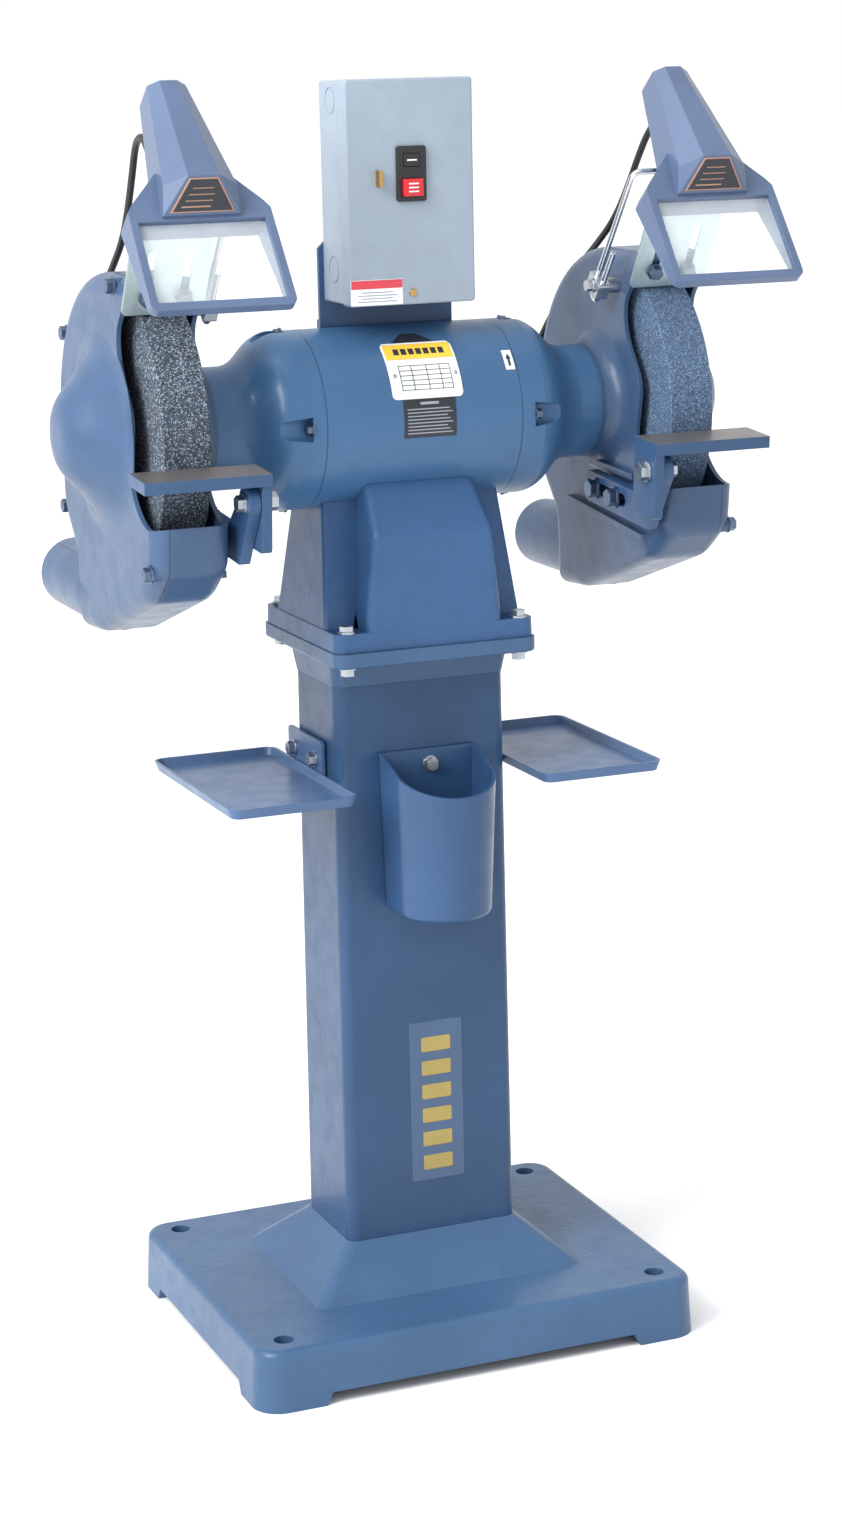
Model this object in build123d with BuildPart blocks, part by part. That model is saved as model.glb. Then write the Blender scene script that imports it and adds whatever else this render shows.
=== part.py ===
from build123d import *
import math
import os

# Pedestal grinder with two 12 inch wheels. Millimetres, +Z up, +X along the spindle.
# The origin is the middle of the base on the floor and -Y is the operator's side.
# Paired pieces are drawn on the +X side and mirrored about X = 0.

# ---- driving dimensions ----
SPINDLE_Z = 1028.3
WHEEL_R = 152.4
WHEEL_IN = 257.5
WHEEL_OUT = 307.5

BASE_X = 522
BASE_Y = 426
BASE_H = 68.3
BASE_WALL = 14
FOOT_H = 14
BOLT_X = 441.2
BOLT_Y = 353.4
ANCHOR_R = 11
PYRAMID_TOP = 118.5
COLUMN_TOP = 746.4
COLUMN_WALL = 6
FLANGE_BOTTOM = 776.5
FLANGE_TOP = 792.5
FLANGE_BOLT_X = 98.5
FLANGE_BOLT_Y = 102
PAD_TOP = 817

MOTOR_R = 95
MOTOR_HALF = 111
SHELL_WALL = 8
NECK_R = 61.5
GUARD_SEAT = 220
BEARING_IN = 170
BEARING_W = 18
BEARING_R = 40
BEARING_BORE = 20
RUNNING_GAP = 0.05

GUARD_IN = 243
GUARD_SEAM = 310
GUARD_OUT = 327
GUARD_WALL = 5
GUARD_R = 165
GUARD_EDGE = 20
LIP_Y = -170
LIP_Z = 949
OUTLET_X = 291
OUTLET_Z = 843
OUTLET_R = 39
OUTLET_BORE = 35.5
OUTLET_END = 248
OUTLET_FOOT = 60
PLATE_LEAN = 31
PLATE_FOOT = (-86, 1156)
PLATE_T = 3

BOX_HALF = 71.5
BOX_BACK = 12
BOX_JOIN = -45
BOX_FRONT = -65
BOX_LOW = 1149
BOX_HIGH = 1381

REST_IN = 213
REST_OUT = 346.5
REST_BACK = -156
REST_DEPTH = 52
REST_TOP = 1006.5
REST_T = 12.5
REST_TILT = 4.5

SHIELD_X = 277.5
SHIELD_Y = -238.5
SHIELD_Z = 1218.3
SHIELD_LEAN = 37.8
ROD_R = 3.2
CABLE_R = 3.8

TRAY_IN = 106
TRAY_OUT = 250
TRAY_BACK = 120
TRAY_FRONT = -150
TRAY_TOP = 648
TRAY_T = 2.5
TRAY_RIM = 11
POT_X = 4
POT_Y = -66.5

os.makedirs("parts", exist_ok=True)


def save(builder, name):
    """Label a finished piece and write it."""
    builder.part.label = name
    export_step(builder.part, f"parts/{name}.step")


def save_pair(builder, name):
    """Write a right-hand piece and its mirror image."""
    save(builder, f"right_{name}")
    with BuildPart() as twin:
        mirror(builder.part, about=Plane.YZ)
    save(twin, f"left_{name}")


def save_both(builder, name):
    """Write one piece for each side as separate solids of one file."""
    with BuildPart() as both:
        add(builder.part)
        mirror(builder.part, about=Plane.YZ)
    save(both, name)


def side(x):
    """Plane seen along the spindle at x: its local axes are the world's Y and Z."""
    return Plane(origin=(x, 0, 0), x_dir=(0, 1, 0), z_dir=(1, 0, 0))


def spindle(x):
    """Plane square to the spindle at x, centred on the spindle."""
    return Plane(origin=(x, 0, SPINDLE_Z), x_dir=(0, 1, 0), z_dir=(1, 0, 0))


def ring(x_start, x_end, outer, bore):
    """Disc or tube about the spindle axis."""
    with BuildSketch(spindle(x_start)) as disc:
        Circle(outer)
        if bore:
            Circle(bore, mode=Mode.SUBTRACT)
    extrude(disc.sketch, amount=x_end - x_start)


def hex_bolt(place, across, head, shank_r, shank, washer=2):
    """Hex head standing on the plane's +Z side with a washer, shank behind it."""
    with BuildSketch(place) as disc:
        Circle(across * 0.68)
    extrude(disc.sketch, amount=washer)
    with BuildSketch(place.offset(washer)) as hexagon:
        RegularPolygon(across / 2, 6, major_radius=False)
    extrude(hexagon.sketch, amount=head)
    if shank:
        with BuildSketch(place) as pin:
            Circle(shank_r)
        extrude(pin.sketch, amount=-shank)


# ---- pedestal ----
with BuildPart() as base_casting:
    with BuildSketch():
        RectangleRounded(BASE_X, BASE_Y, 32)
    extrude(amount=BASE_H, taper=3)
    rim = base_casting.faces().sort_by(Axis.Z)[-1].edges()
    fillet(rim, 9)
    with BuildSketch(Plane.XY.offset(BASE_H - 2)):
        RectangleRounded(322, 246, 12)
    with BuildSketch(Plane.XY.offset(PYRAMID_TOP)):
        RectangleRounded(203, 135, 12)
    loft()
    with BuildSketch(Plane.XY.offset(PYRAMID_TOP)):
        RectangleRounded(184, 116, 8)
    extrude(amount=14)
    with BuildSketch():
        RectangleRounded(BASE_X - 2 * BASE_WALL, BASE_Y - 2 * BASE_WALL, 20)
    extrude(amount=BASE_H - BASE_WALL, taper=3, mode=Mode.SUBTRACT)
    with BuildSketch(Plane.XY.offset(BASE_H - BASE_WALL - 1)):
        RectangleRounded(290, 214, 10)
    with BuildSketch(Plane.XY.offset(PYRAMID_TOP - 8)):
        RectangleRounded(168, 100, 6)
    loft(mode=Mode.SUBTRACT)
    with BuildSketch(Plane.XY.offset(PYRAMID_TOP - 9)):
        RectangleRounded(168, 100, 6)
    extrude(amount=30, mode=Mode.SUBTRACT)
    with BuildSketch():
        with GridLocations(BOLT_X, BOLT_Y, 2, 2):
            Circle(24)
    extrude(amount=BASE_H - 4)
    with BuildSketch(Plane.XZ.offset(-BASE_Y)):
        Polygon((-187, -1), (187, -1), (179, FOOT_H), (-179, FOOT_H), align=None)
    extrude(amount=2 * BASE_Y, mode=Mode.SUBTRACT)
    with BuildSketch(side(-BASE_X)):
        Polygon((-146, -1), (146, -1), (138, FOOT_H), (-138, FOOT_H), align=None)
    extrude(amount=2 * BASE_X, mode=Mode.SUBTRACT)
    with BuildSketch(Plane.XY.offset(-1)):
        with GridLocations(BOLT_X, BOLT_Y, 2, 2):
            Circle(ANCHOR_R)
    extrude(amount=BASE_H + 2, mode=Mode.SUBTRACT)
save(base_casting, "base_casting")

with BuildPart() as column:
    with BuildSketch(Plane.XY.offset(PYRAMID_TOP)):
        RectangleRounded(201.6, 133.2, 12)
    with BuildSketch(Plane.XY.offset(COLUMN_TOP)):
        RectangleRounded(196.8, 126.2, 12)
    loft()
    with BuildSketch(Plane.XY.offset(PYRAMID_TOP)):
        RectangleRounded(201.6 - 2 * COLUMN_WALL, 133.2 - 2 * COLUMN_WALL, 8)
    with BuildSketch(Plane.XY.offset(COLUMN_TOP)):
        RectangleRounded(196.8 - 2 * COLUMN_WALL, 126.2 - 2 * COLUMN_WALL, 8)
    loft(mode=Mode.SUBTRACT)
    for y in (-12, 52):
        with BuildSketch(side(-120)):
            with Locations((y, TRAY_TOP + 12)):
                Circle(4)
        extrude(amount=240, mode=Mode.SUBTRACT)
    with BuildSketch(Plane.XZ.offset(30)):
        with Locations((POT_X + 2, 655)):
            Circle(4)
    extrude(amount=60, mode=Mode.SUBTRACT)
save(column, "column")

with BuildPart() as collar_flange:
    with BuildSketch(Plane.XY.offset(COLUMN_TOP)):
        RectangleRounded(198, 127.4, 12)
    with BuildSketch(Plane.XY.offset(FLANGE_BOTTOM + 1)):
        RectangleRounded(208, 141, 14)
    loft()
    with BuildSketch(Plane.XY.offset(FLANGE_BOTTOM)):
        RectangleRounded(232, 234, 14)
    plate = extrude(amount=FLANGE_TOP - FLANGE_BOTTOM)
    fillet(plate.faces().sort_by(Axis.Z)[0].edges(), 3)
    with BuildSketch(Plane.XY.offset(COLUMN_TOP)):
        RectangleRounded(170, 100, 8)
    extrude(amount=60, mode=Mode.SUBTRACT)
    with BuildSketch(Plane.XY.offset(FLANGE_BOTTOM)):
        with GridLocations(2 * FLANGE_BOLT_X, 2 * FLANGE_BOLT_Y, 2, 2):
            Circle(5.5)
    extrude(amount=20, mode=Mode.SUBTRACT)
save(collar_flange, "collar_flange")

# ---- grinder base under the motor ----
WALL_TOP = 941
HEAD_Z = 985
side_slope = (113 - 101.7) / (WALL_TOP - PAD_TOP)
edge_slope = (76 - 47) / (WALL_TOP - PAD_TOP)
rise = HEAD_Z - PAD_TOP
with BuildPart() as grinder_base:
    with BuildSketch(Plane.XY.offset(FLANGE_TOP)):
        RectangleRounded(229, 224, 12)
    extrude(amount=PAD_TOP - FLANGE_TOP - 4, taper=2)
    with BuildSketch(Plane.XY.offset(PAD_TOP - 10)):
        Rectangle(226, 152)
    with BuildSketch(Plane.XY.offset(HEAD_Z)):
        Rectangle(226 - 2 * rise * side_slope, 152 - 2 * rise * edge_slope)
    loft()
    uprights = grinder_base.edges().filter_by(lambda e: e.center().Z > 860 and e.length > 150
                                              and abs((e % 0.5).Z) > 0.9)
    fillet(uprights, 4)
    with BuildSketch(side(-80)):
        with BuildLine():
            Polyline((-111, FLANGE_TOP + 6), (-111, 914), (-58, 980), (58, 980), (111, 914),
                     (111, FLANGE_TOP + 6), close=True)
        make_face()
    body_box = extrude(amount=160, mode=Mode.PRIVATE)
    with BuildSketch(Plane.XZ.offset(-115), mode=Mode.PRIVATE) as box_front:
        with BuildLine():
            Polyline((-79, FLANGE_TOP + 6), (-69.4, 914), (-60.5, 980), (60.5, 980), (69.4, 914),
                     (79, FLANGE_TOP + 6), close=True)
        make_face()
    narrowed = body_box & extrude(box_front.sketch, amount=230, mode=Mode.PRIVATE)
    corners = narrowed.edges().filter_by(lambda e: abs(e.center().Y) > 60 and 810 < e.center().Z < 970)
    add(narrowed.fillet(9, corners))
    with BuildSketch(spindle(-130)):
        Circle(MOTOR_R)
    extrude(amount=260, mode=Mode.SUBTRACT)
    with BuildSketch(Plane.XY.offset(FLANGE_TOP)):
        RectangleRounded(170, 190, 10)
    with BuildSketch(Plane.XY.offset(900)):
        RectangleRounded(120, 90, 10)
    loft(mode=Mode.SUBTRACT)
    with BuildSketch(Plane.XY.offset(FLANGE_TOP)):
        with GridLocations(2 * FLANGE_BOLT_X, 2 * FLANGE_BOLT_Y, 2, 2):
            Circle(5.5)
    extrude(amount=40, mode=Mode.SUBTRACT)
save(grinder_base, "grinder_base")

with BuildPart() as flange_bolts:
    for x in (-FLANGE_BOLT_X, FLANGE_BOLT_X):
        for y in (-FLANGE_BOLT_Y, FLANGE_BOLT_Y):
            foot = Plane(origin=(x, y, FLANGE_BOTTOM), z_dir=(0, 0, -1))
            top = Plane(origin=(x, y, PAD_TOP - 4), z_dir=(0, 0, 1))
            hex_bolt(foot, 14, 7, 5, PAD_TOP - FLANGE_BOTTOM + 4)
            hex_bolt(top, 14, 6, 5, 0)
save(flange_bolts, "flange_bolts")

# ---- motor ----
with BuildPart() as motor_shell:
    ring(-MOTOR_HALF, MOTOR_HALF, MOTOR_R, MOTOR_R - SHELL_WALL)
    with BuildSketch(Plane.XY.offset(SPINDLE_Z + 60)):
        with Locations((-45, BOX_BACK + 24), (45, BOX_BACK + 24)):
            Circle(4)
    extrude(amount=40, mode=Mode.SUBTRACT)
save(motor_shell, "motor_shell")

BELL_BOLT_ANGLES = (0, 90, 180, 270)
BELL_BOLT_R = 91.5
LEAD_END = (154, 96, 983)
with BuildPart() as end_bell:
    with BuildSketch(Plane(origin=(0, 0, SPINDLE_Z), x_dir=(1, 0, 0), z_dir=(0, -1, 0))):
        with BuildLine():
            Polyline((GUARD_SEAT, 24), (GUARD_SEAT, NECK_R), (196, NECK_R))
            Spline((196, NECK_R), (168, 76), (138, MOTOR_R), tangents=[(-1, 0.05), (-1, 0.12)])
            Polyline((138, MOTOR_R), (MOTOR_HALF, MOTOR_R), (MOTOR_HALF, 80), (140, 80))
            Polyline((140, 80), (162, 50), (BEARING_IN - 4, 50), (BEARING_IN - 4, 24), (GUARD_SEAT, 24))
        make_face()
    revolve(axis=Axis((0, 0, SPINDLE_Z), (1, 0, 0)))
    for angle in BELL_BOLT_ANGLES:
        c = math.cos(math.radians(angle))
        s = math.sin(math.radians(angle))
        pocket = Plane(origin=(MOTOR_HALF + 15, -97.5 * c, SPINDLE_Z + 97.5 * s), x_dir=(0, s, c),
                       z_dir=(1, 0, 0))
        with BuildSketch(pocket):
            RectangleRounded(26, 28, 7)
        with BuildSketch(pocket.offset(42)):
            RectangleRounded(16, 26, 6)
        loft(mode=Mode.SUBTRACT)
    with BuildSketch(Plane(origin=LEAD_END, x_dir=(1, 0, 0), z_dir=(0, -1, 0))):
        Circle(9)
    extrude(amount=34)
    with BuildSketch(spindle(BEARING_IN - 6)):
        Circle(BEARING_R)
    extrude(amount=BEARING_W + 6, mode=Mode.SUBTRACT)
save_both(end_bell, "end_bells")

with BuildPart() as end_bell_bolts:
    for hand in (-1, 1):
        for angle in BELL_BOLT_ANGLES:
            c = math.cos(math.radians(angle))
            s = math.sin(math.radians(angle))
            seat = Plane(origin=(hand * (MOTOR_HALF + 15), -BELL_BOLT_R * c, SPINDLE_Z + BELL_BOLT_R * s),
                         z_dir=(hand, 0, 0))
            hex_bolt(seat, 10, 6, 3, 0, washer=1.5)
save(end_bell_bolts, "end_bell_bolts")

with BuildPart() as stator_core:
    ring(-70, 70, MOTOR_R - SHELL_WALL, 55)
save(stator_core, "stator_core")

with BuildPart() as stator_windings:
    ring(-98, -70, 82, 60)
    ring(70, 98, 82, 60)
    for edge in (-98, 98):
        fillet(stator_windings.edges().filter_by(lambda e: abs(e.center().X - edge) < 1), 7)
save(stator_windings, "stator_windings")

# ---- spindle ----
with BuildPart() as shaft:
    ring(-BEARING_IN, BEARING_IN, 24, 0)
    ring(-190, 190, BEARING_BORE - RUNNING_GAP, 0)
    ring(8 - WHEEL_IN, WHEEL_IN - 8, 18, 0)
    ring(-345, 345, 15.875, 0)
    chamfer(shaft.edges().group_by(Axis.X)[0] + shaft.edges().group_by(Axis.X)[-1], 2)
save(shaft, "shaft")

with BuildPart() as rotor_core:
    ring(-70, 70, 54, 24)
save(rotor_core, "rotor_core")

with BuildPart() as bearing:
    ring(BEARING_IN, BEARING_IN + BEARING_W, BEARING_R, BEARING_BORE)
save_both(bearing, "bearings")

with BuildPart() as wheel:
    ring(WHEEL_IN, WHEEL_OUT, WHEEL_R, 15.875)
    chamfer(wheel.edges().filter_by(GeomType.CIRCLE).sort_by(SortBy.RADIUS)[-2:], 1.2)
save_pair(wheel, "wheel")

with BuildPart() as wheel_flanges:
    ring(WHEEL_IN - 8, WHEEL_IN, 57, 15.875)
    ring(WHEEL_OUT, WHEEL_OUT + 11.5, 57, 15.875)
save_both(wheel_flanges, "wheel_flanges")

with BuildPart() as spindle_nut:
    with BuildSketch(spindle(WHEEL_OUT + 11.5)):
        RegularPolygon(24, 6, major_radius=False)
        Circle(15.875, mode=Mode.SUBTRACT)
    extrude(amount=18)
save_both(spindle_nut, "spindle_nuts")

# ---- wheel guards ----
lean = math.radians(PLATE_LEAN)
PLATE_UP = (-math.sin(lean), math.cos(lean))
PLATE_OUT = (-math.cos(lean), -math.sin(lean))
roof = SPINDLE_Z + GUARD_R


def plate_point(up, out):
    """Point (Y, Z) by distance up the spark plate and out from its back face."""
    y = PLATE_FOOT[0] + up * PLATE_UP[0] + out * PLATE_OUT[0]
    z = PLATE_FOOT[1] + up * PLATE_UP[1] + out * PLATE_OUT[1]
    return (y, z)


def plate_plane(x, up, out):
    """Plane on the spark plate: local X along the spindle, local Y up the plate."""
    y, z = plate_point(up, out)
    return Plane(origin=(x, y, z), x_dir=(1, 0, 0), z_dir=(0, PLATE_OUT[0], PLATE_OUT[1]))


SLOT_X = (264, 303)
PIVOT = (-185, 972)
ARM_TILT = 5
ARM_X = 223.8
ARM_T = 12
LEG_X = 213
ARM_BOLTS = ((-37, 935), (-85, 931))
ARM_SLOT = (-61, 933)


def guard_edge():
    """Front edge of the side walls, from the lip up to the foot of the spark plate."""
    Spline((LIP_Y, LIP_Z), (-118, 960), (-97, 988), (-105, 1052), (-78, 1096), (-69, 1124), PLATE_FOOT)


ROOF_END = plate_point((roof - PLATE_FOOT[1]) / PLATE_UP[1], 0)
INNER_ROOF = roof - GUARD_WALL
INNER_END = plate_point((INNER_ROOF - PLATE_FOOT[1] - GUARD_WALL * math.sin(lean)) / PLATE_UP[1],
                        -GUARD_WALL)
COVER_BOLTS = ((-62, 1184, 15), (137, 1121, 8), (160, 932, 8), (-150, 902, 15))


def round_rims(builder, low_x, high_x, radius):
    """Round the rims of both side walls, away from the open front."""
    rims = builder.edges().filter_by(
        lambda e: min(abs(e.center().X - low_x), abs(e.center().X - high_x)) < 1 and e.length > 3
        and (e.center().Z < LIP_Z - 1 or e.center().Y > -60))
    fillet(rims, radius)


with BuildPart() as guard_cavity:
    with BuildSketch(side(GUARD_IN + GUARD_WALL)):
        with BuildLine():
            Polyline((LIP_Y + GUARD_WALL, LIP_Z + 2), (-240, LIP_Z + 2), (-240, 1090),
                     plate_point(6, 60), plate_point(6, -GUARD_WALL), INNER_END, (0, INNER_ROOF))
            CenterArc((0, SPINDLE_Z), GUARD_R - GUARD_WALL, 90, -90)
            FilletPolyline((GUARD_R - GUARD_WALL, SPINDLE_Z), (157, 932), (117, 887), (113, 810),
                           (58, 813), (-116, 872), (-159, 905), (LIP_Y + GUARD_WALL, LIP_Z + 2),
                           radius=[55, 15, 6, 60, 55, 25])
        make_face()
    extrude(amount=GUARD_OUT - GUARD_IN - 2 * GUARD_WALL)
    round_rims(guard_cavity, GUARD_IN + GUARD_WALL, GUARD_OUT - GUARD_WALL, GUARD_EDGE - GUARD_WALL)

with BuildPart() as guard_shell:
    with BuildSketch(side(GUARD_IN)):
        with BuildLine():
            guard_edge()
            Line(PLATE_FOOT, ROOF_END)
            Line(ROOF_END, (0, roof))
            CenterArc((0, SPINDLE_Z), GUARD_R, 90, -90)
            FilletPolyline((GUARD_R, SPINDLE_Z), (162, 930), (122, 885), (118, 804), (OUTLET_FOOT, 807.5),
                           (-118, 865), (-164, 900), (LIP_Y, LIP_Z), radius=[60, 20, 6, 60, 60, 30])
        make_face()
    extrude(amount=GUARD_OUT - GUARD_IN)
    round_rims(guard_shell, GUARD_IN, GUARD_OUT, GUARD_EDGE)
    with BuildSketch(Plane(origin=(0, 0, SPINDLE_Z), x_dir=(1, 0, 0), z_dir=(0, -1, 0))):
        with BuildLine():
            Line((GUARD_OUT - 2, 0), (376, 0))
            Spline((376, 0), (371, 36), (350, 62), (334, 84), (GUARD_OUT - 0.5, 110),
                   tangents=[(0, 1), (-0.08, 1)])
            Polyline((GUARD_OUT - 0.5, 110), (GUARD_OUT - 2, 110), (GUARD_OUT - 2, 0))
        make_face()
    revolve(axis=Axis((0, 0, SPINDLE_Z), (1, 0, 0)))
    with BuildSketch(Plane(origin=(0, 0, SPINDLE_Z), x_dir=(1, 0, 0), z_dir=(0, -1, 0))):
        with BuildLine():
            Polyline((GUARD_IN + 1, 0), (GUARD_SEAT, 0), (GUARD_SEAT, NECK_R), (225, NECK_R))
            RadiusArc((225, NECK_R), (GUARD_IN + 1, 84), -24)
            Line((GUARD_IN + 1, 84), (GUARD_IN + 1, 0))
        make_face()
    revolve(axis=Axis((0, 0, SPINDLE_Z), (1, 0, 0)))
    with BuildSketch(Plane(origin=(OUTLET_X, 110, OUTLET_Z), x_dir=(1, 0, 0), z_dir=(0, 1, 0))):
        Circle(OUTLET_R)
    extrude(amount=OUTLET_END - 110)
    with BuildSketch(Plane(origin=(OUTLET_X, OUTLET_FOOT, OUTLET_Z), x_dir=(1, 0, 0), z_dir=(0, 1, 0))):
        Circle(OUTLET_R - 3.5)
    with BuildSketch(Plane(origin=(OUTLET_X, 111, OUTLET_Z), x_dir=(1, 0, 0), z_dir=(0, 1, 0))):
        Circle(OUTLET_R)
    loft()
    for y, z, seat in COVER_BOLTS:
        with BuildSketch(side(GUARD_SEAM - 10)):
            with Locations((y, z)):
                Circle(8)
        extrude(amount=10 + seat)
    add(guard_cavity.part, mode=Mode.SUBTRACT)
    with BuildSketch(Plane(origin=(0, 0, SPINDLE_Z), x_dir=(1, 0, 0), z_dir=(0, -1, 0))):
        with BuildLine():
            Line((GUARD_OUT - 8, 0), (371, 0))
            Spline((371, 0), (366, 33), (345, 59), (329, 81), (GUARD_OUT - 6, 98),
                   tangents=[(0, 1), (-0.3, 1)])
            Polyline((GUARD_OUT - 6, 98), (GUARD_OUT - 8, 98), (GUARD_OUT - 8, 0))
        make_face()
    revolve(axis=Axis((0, 0, SPINDLE_Z), (1, 0, 0)), mode=Mode.SUBTRACT)
    with BuildSketch(Plane(origin=(OUTLET_X, 95, OUTLET_Z), x_dir=(1, 0, 0), z_dir=(0, 1, 0))):
        Circle(OUTLET_BORE)
    extrude(amount=OUTLET_END - 94, mode=Mode.SUBTRACT)
    for y, z, seat in COVER_BOLTS:
        with BuildSketch(side(GUARD_SEAM - 11)):
            with Locations((y, z)):
                Circle(3)
        extrude(amount=30, mode=Mode.SUBTRACT)
        with BuildSketch(side(GUARD_SEAM + seat)):
            with Locations((y, z)):
                Circle(9.3)
        extrude(amount=12, mode=Mode.SUBTRACT)
    with BuildSketch(spindle(GUARD_SEAT - 1)):
        Circle(21)
    extrude(amount=40, mode=Mode.SUBTRACT)

with BuildPart() as guard_body:
    add(guard_shell.part)
    split(bisect_by=side(GUARD_SEAM), keep=Keep.BOTTOM)
    for start, end in (((75, 967), (-100, 957)), ((65, 914), (-122, 894))):
        with BuildSketch(side(GUARD_IN - 7)):
            with BuildLine():
                Polyline(start, end, (end[0], end[1] - 7), (start[0], start[1] - 7), close=True)
            make_face()
        extrude(amount=8)
    with BuildSketch(side(ARM_X + ARM_T + 0.2)):
        for y, z in ARM_BOLTS:
            with Locations((y, z)):
                Circle(13)
    extrude(amount=GUARD_IN - ARM_X - ARM_T + 1)
    with BuildSketch(side(ARM_X)):
        for y, z in ARM_BOLTS:
            with Locations((y, z)):
                Circle(5)
    extrude(amount=30, mode=Mode.SUBTRACT)
    for x in SLOT_X:
        with BuildSketch(plate_plane(x, 23, 1)):
            Circle(4)
        extrude(amount=-12, mode=Mode.SUBTRACT)
save_pair(guard_body, "guard_body")

with BuildPart() as guard_cover:
    add(guard_shell.part)
    split(bisect_by=side(GUARD_SEAM), keep=Keep.TOP)
save_pair(guard_cover, "guard_cover")

# ---- spark plates ----
with BuildPart() as spark_plate:
    with BuildSketch(plate_plane(283.5, 47, 0.2)):
        RectangleRounded(87, 91, 6)
        with Locations((SLOT_X[0] - 283.5, -3), (SLOT_X[1] - 283.5, -3)):
            SlotOverall(66, 9, rotation=90, mode=Mode.SUBTRACT)
    extrude(amount=PLATE_T)
save_pair(spark_plate, "spark_plate")

with BuildPart() as guard_bolts:
    for y, z, seat in COVER_BOLTS:
        hex_bolt(Plane(origin=(GUARD_SEAM + seat, y, z), z_dir=(1, 0, 0)), 13, 7, 3, seat + 9)
    for x in SLOT_X:
        hex_bolt(plate_plane(x, 23, 0.4 + PLATE_T), 13, 7, 4, 10)
    for y, z in ARM_BOLTS:
        hex_bolt(Plane(origin=(ARM_X - 0.2, y, z), z_dir=(-1, 0, 0)), 17, 8, 5, 22, washer=2.5)
save_both(guard_bolts, "guard_bolts")

# ---- tool rests ----
with BuildPart() as rest_arm:
    with BuildSketch(Plane(origin=(ARM_X, ARM_SLOT[0], ARM_SLOT[1]), x_dir=(0, 1, 0), z_dir=(1, 0, 0))):
        with Locations(Rotation(0, 0, ARM_TILT)):
            with Locations((-26, -1)):
                RectangleRounded(150, 34, 5)
        with Locations((PIVOT[0] - ARM_SLOT[0], PIVOT[1] - ARM_SLOT[1])):
            Circle(17)
        with BuildLine():
            Polyline((-100, -27), (-140, 33), (-109, 45), (-70, 10), (-78, -24), close=True)
        make_face()
        with Locations(Rotation(0, 0, ARM_TILT)):
            SlotOverall(96, 14, mode=Mode.SUBTRACT)
        with Locations((PIVOT[0] - ARM_SLOT[0], PIVOT[1] - ARM_SLOT[1])):
            Circle(5.06, mode=Mode.SUBTRACT)
    extrude(amount=ARM_T)
save_pair(rest_arm, "rest_arm")


def rest_point(forward, down):
    """Point (Y, Z) by distance forward and down from the table's back edge."""
    tilt = math.radians(REST_TILT)
    return (REST_BACK - forward * math.cos(tilt) + down * math.sin(tilt),
            REST_TOP - forward * math.sin(tilt) - down * math.cos(tilt))


with BuildPart() as tool_rest:
    with BuildSketch(side(REST_IN)):
        with BuildLine():
            Polyline(rest_point(0, 0), rest_point(REST_DEPTH, 0), rest_point(REST_DEPTH, REST_T),
                     rest_point(0, REST_T), close=True)
        make_face()
    extrude(amount=REST_OUT - REST_IN)
    with BuildSketch(side(LEG_X)):
        with BuildLine():
            Polyline(rest_point(0, 3), rest_point(50, 3), rest_point(50, 82), rest_point(0, 82), close=True)
        make_face()
    extrude(amount=10.3)
    fillet(tool_rest.edges().filter_by(Axis.X).group_by(Axis.Z)[0], 6)
    with BuildSketch(side(LEG_X - 1)):
        with Locations(PIVOT):
            Circle(5.06)
    extrude(amount=14, mode=Mode.SUBTRACT)
save_pair(tool_rest, "tool_rest")

with BuildPart() as rest_pivot_bolt:
    hex_bolt(Plane(origin=(LEG_X - 0.2, PIVOT[0], PIVOT[1]), z_dir=(-1, 0, 0)), 17, 8, 5, 24, washer=2.5)
    hex_bolt(Plane(origin=(ARM_X + ARM_T, PIVOT[0], PIVOT[1]), z_dir=(1, 0, 0)), 15, 7, 5, 0, washer=2)
save_pair(rest_pivot_bolt, "rest_pivot_bolt")

# ---- eye shields ----
shield_tilt = math.radians(SHIELD_LEAN)
UP = (math.sin(shield_tilt), math.cos(shield_tilt))
FACE = (-math.cos(shield_tilt), math.sin(shield_tilt))


def shield_plane(out, up=0.0, x=SHIELD_X):
    """Plane parallel to the shield's face: local X along the spindle, local Y up the shield."""
    y = SHIELD_Y + up * UP[0] + out * FACE[0]
    z = SHIELD_Z + up * UP[1] + out * FACE[1]
    return Plane(origin=(x, y, z), x_dir=(1, 0, 0), z_dir=(0, FACE[0], FACE[1]))


def section_plane(up):
    """Plane across the shield at a height: local X along the spindle, local Y towards the back."""
    return Plane(origin=shield_plane(0, up).origin, x_dir=(1, 0, 0), z_dir=(0, UP[0], UP[1]))


def hood_section(up, flank, flank_out, facet, facet_out, back):
    """Six-sided cross-section of the lamp hood: flanks, bevels and a narrow front facet."""
    with BuildSketch(section_plane(up), mode=Mode.PRIVATE) as outline:
        Polygon((-flank, back), (-flank, -flank_out), (-facet, -facet_out), (facet, -facet_out),
                (flank, -flank_out), (flank, back), align=None)
    return outline.sketch


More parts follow.
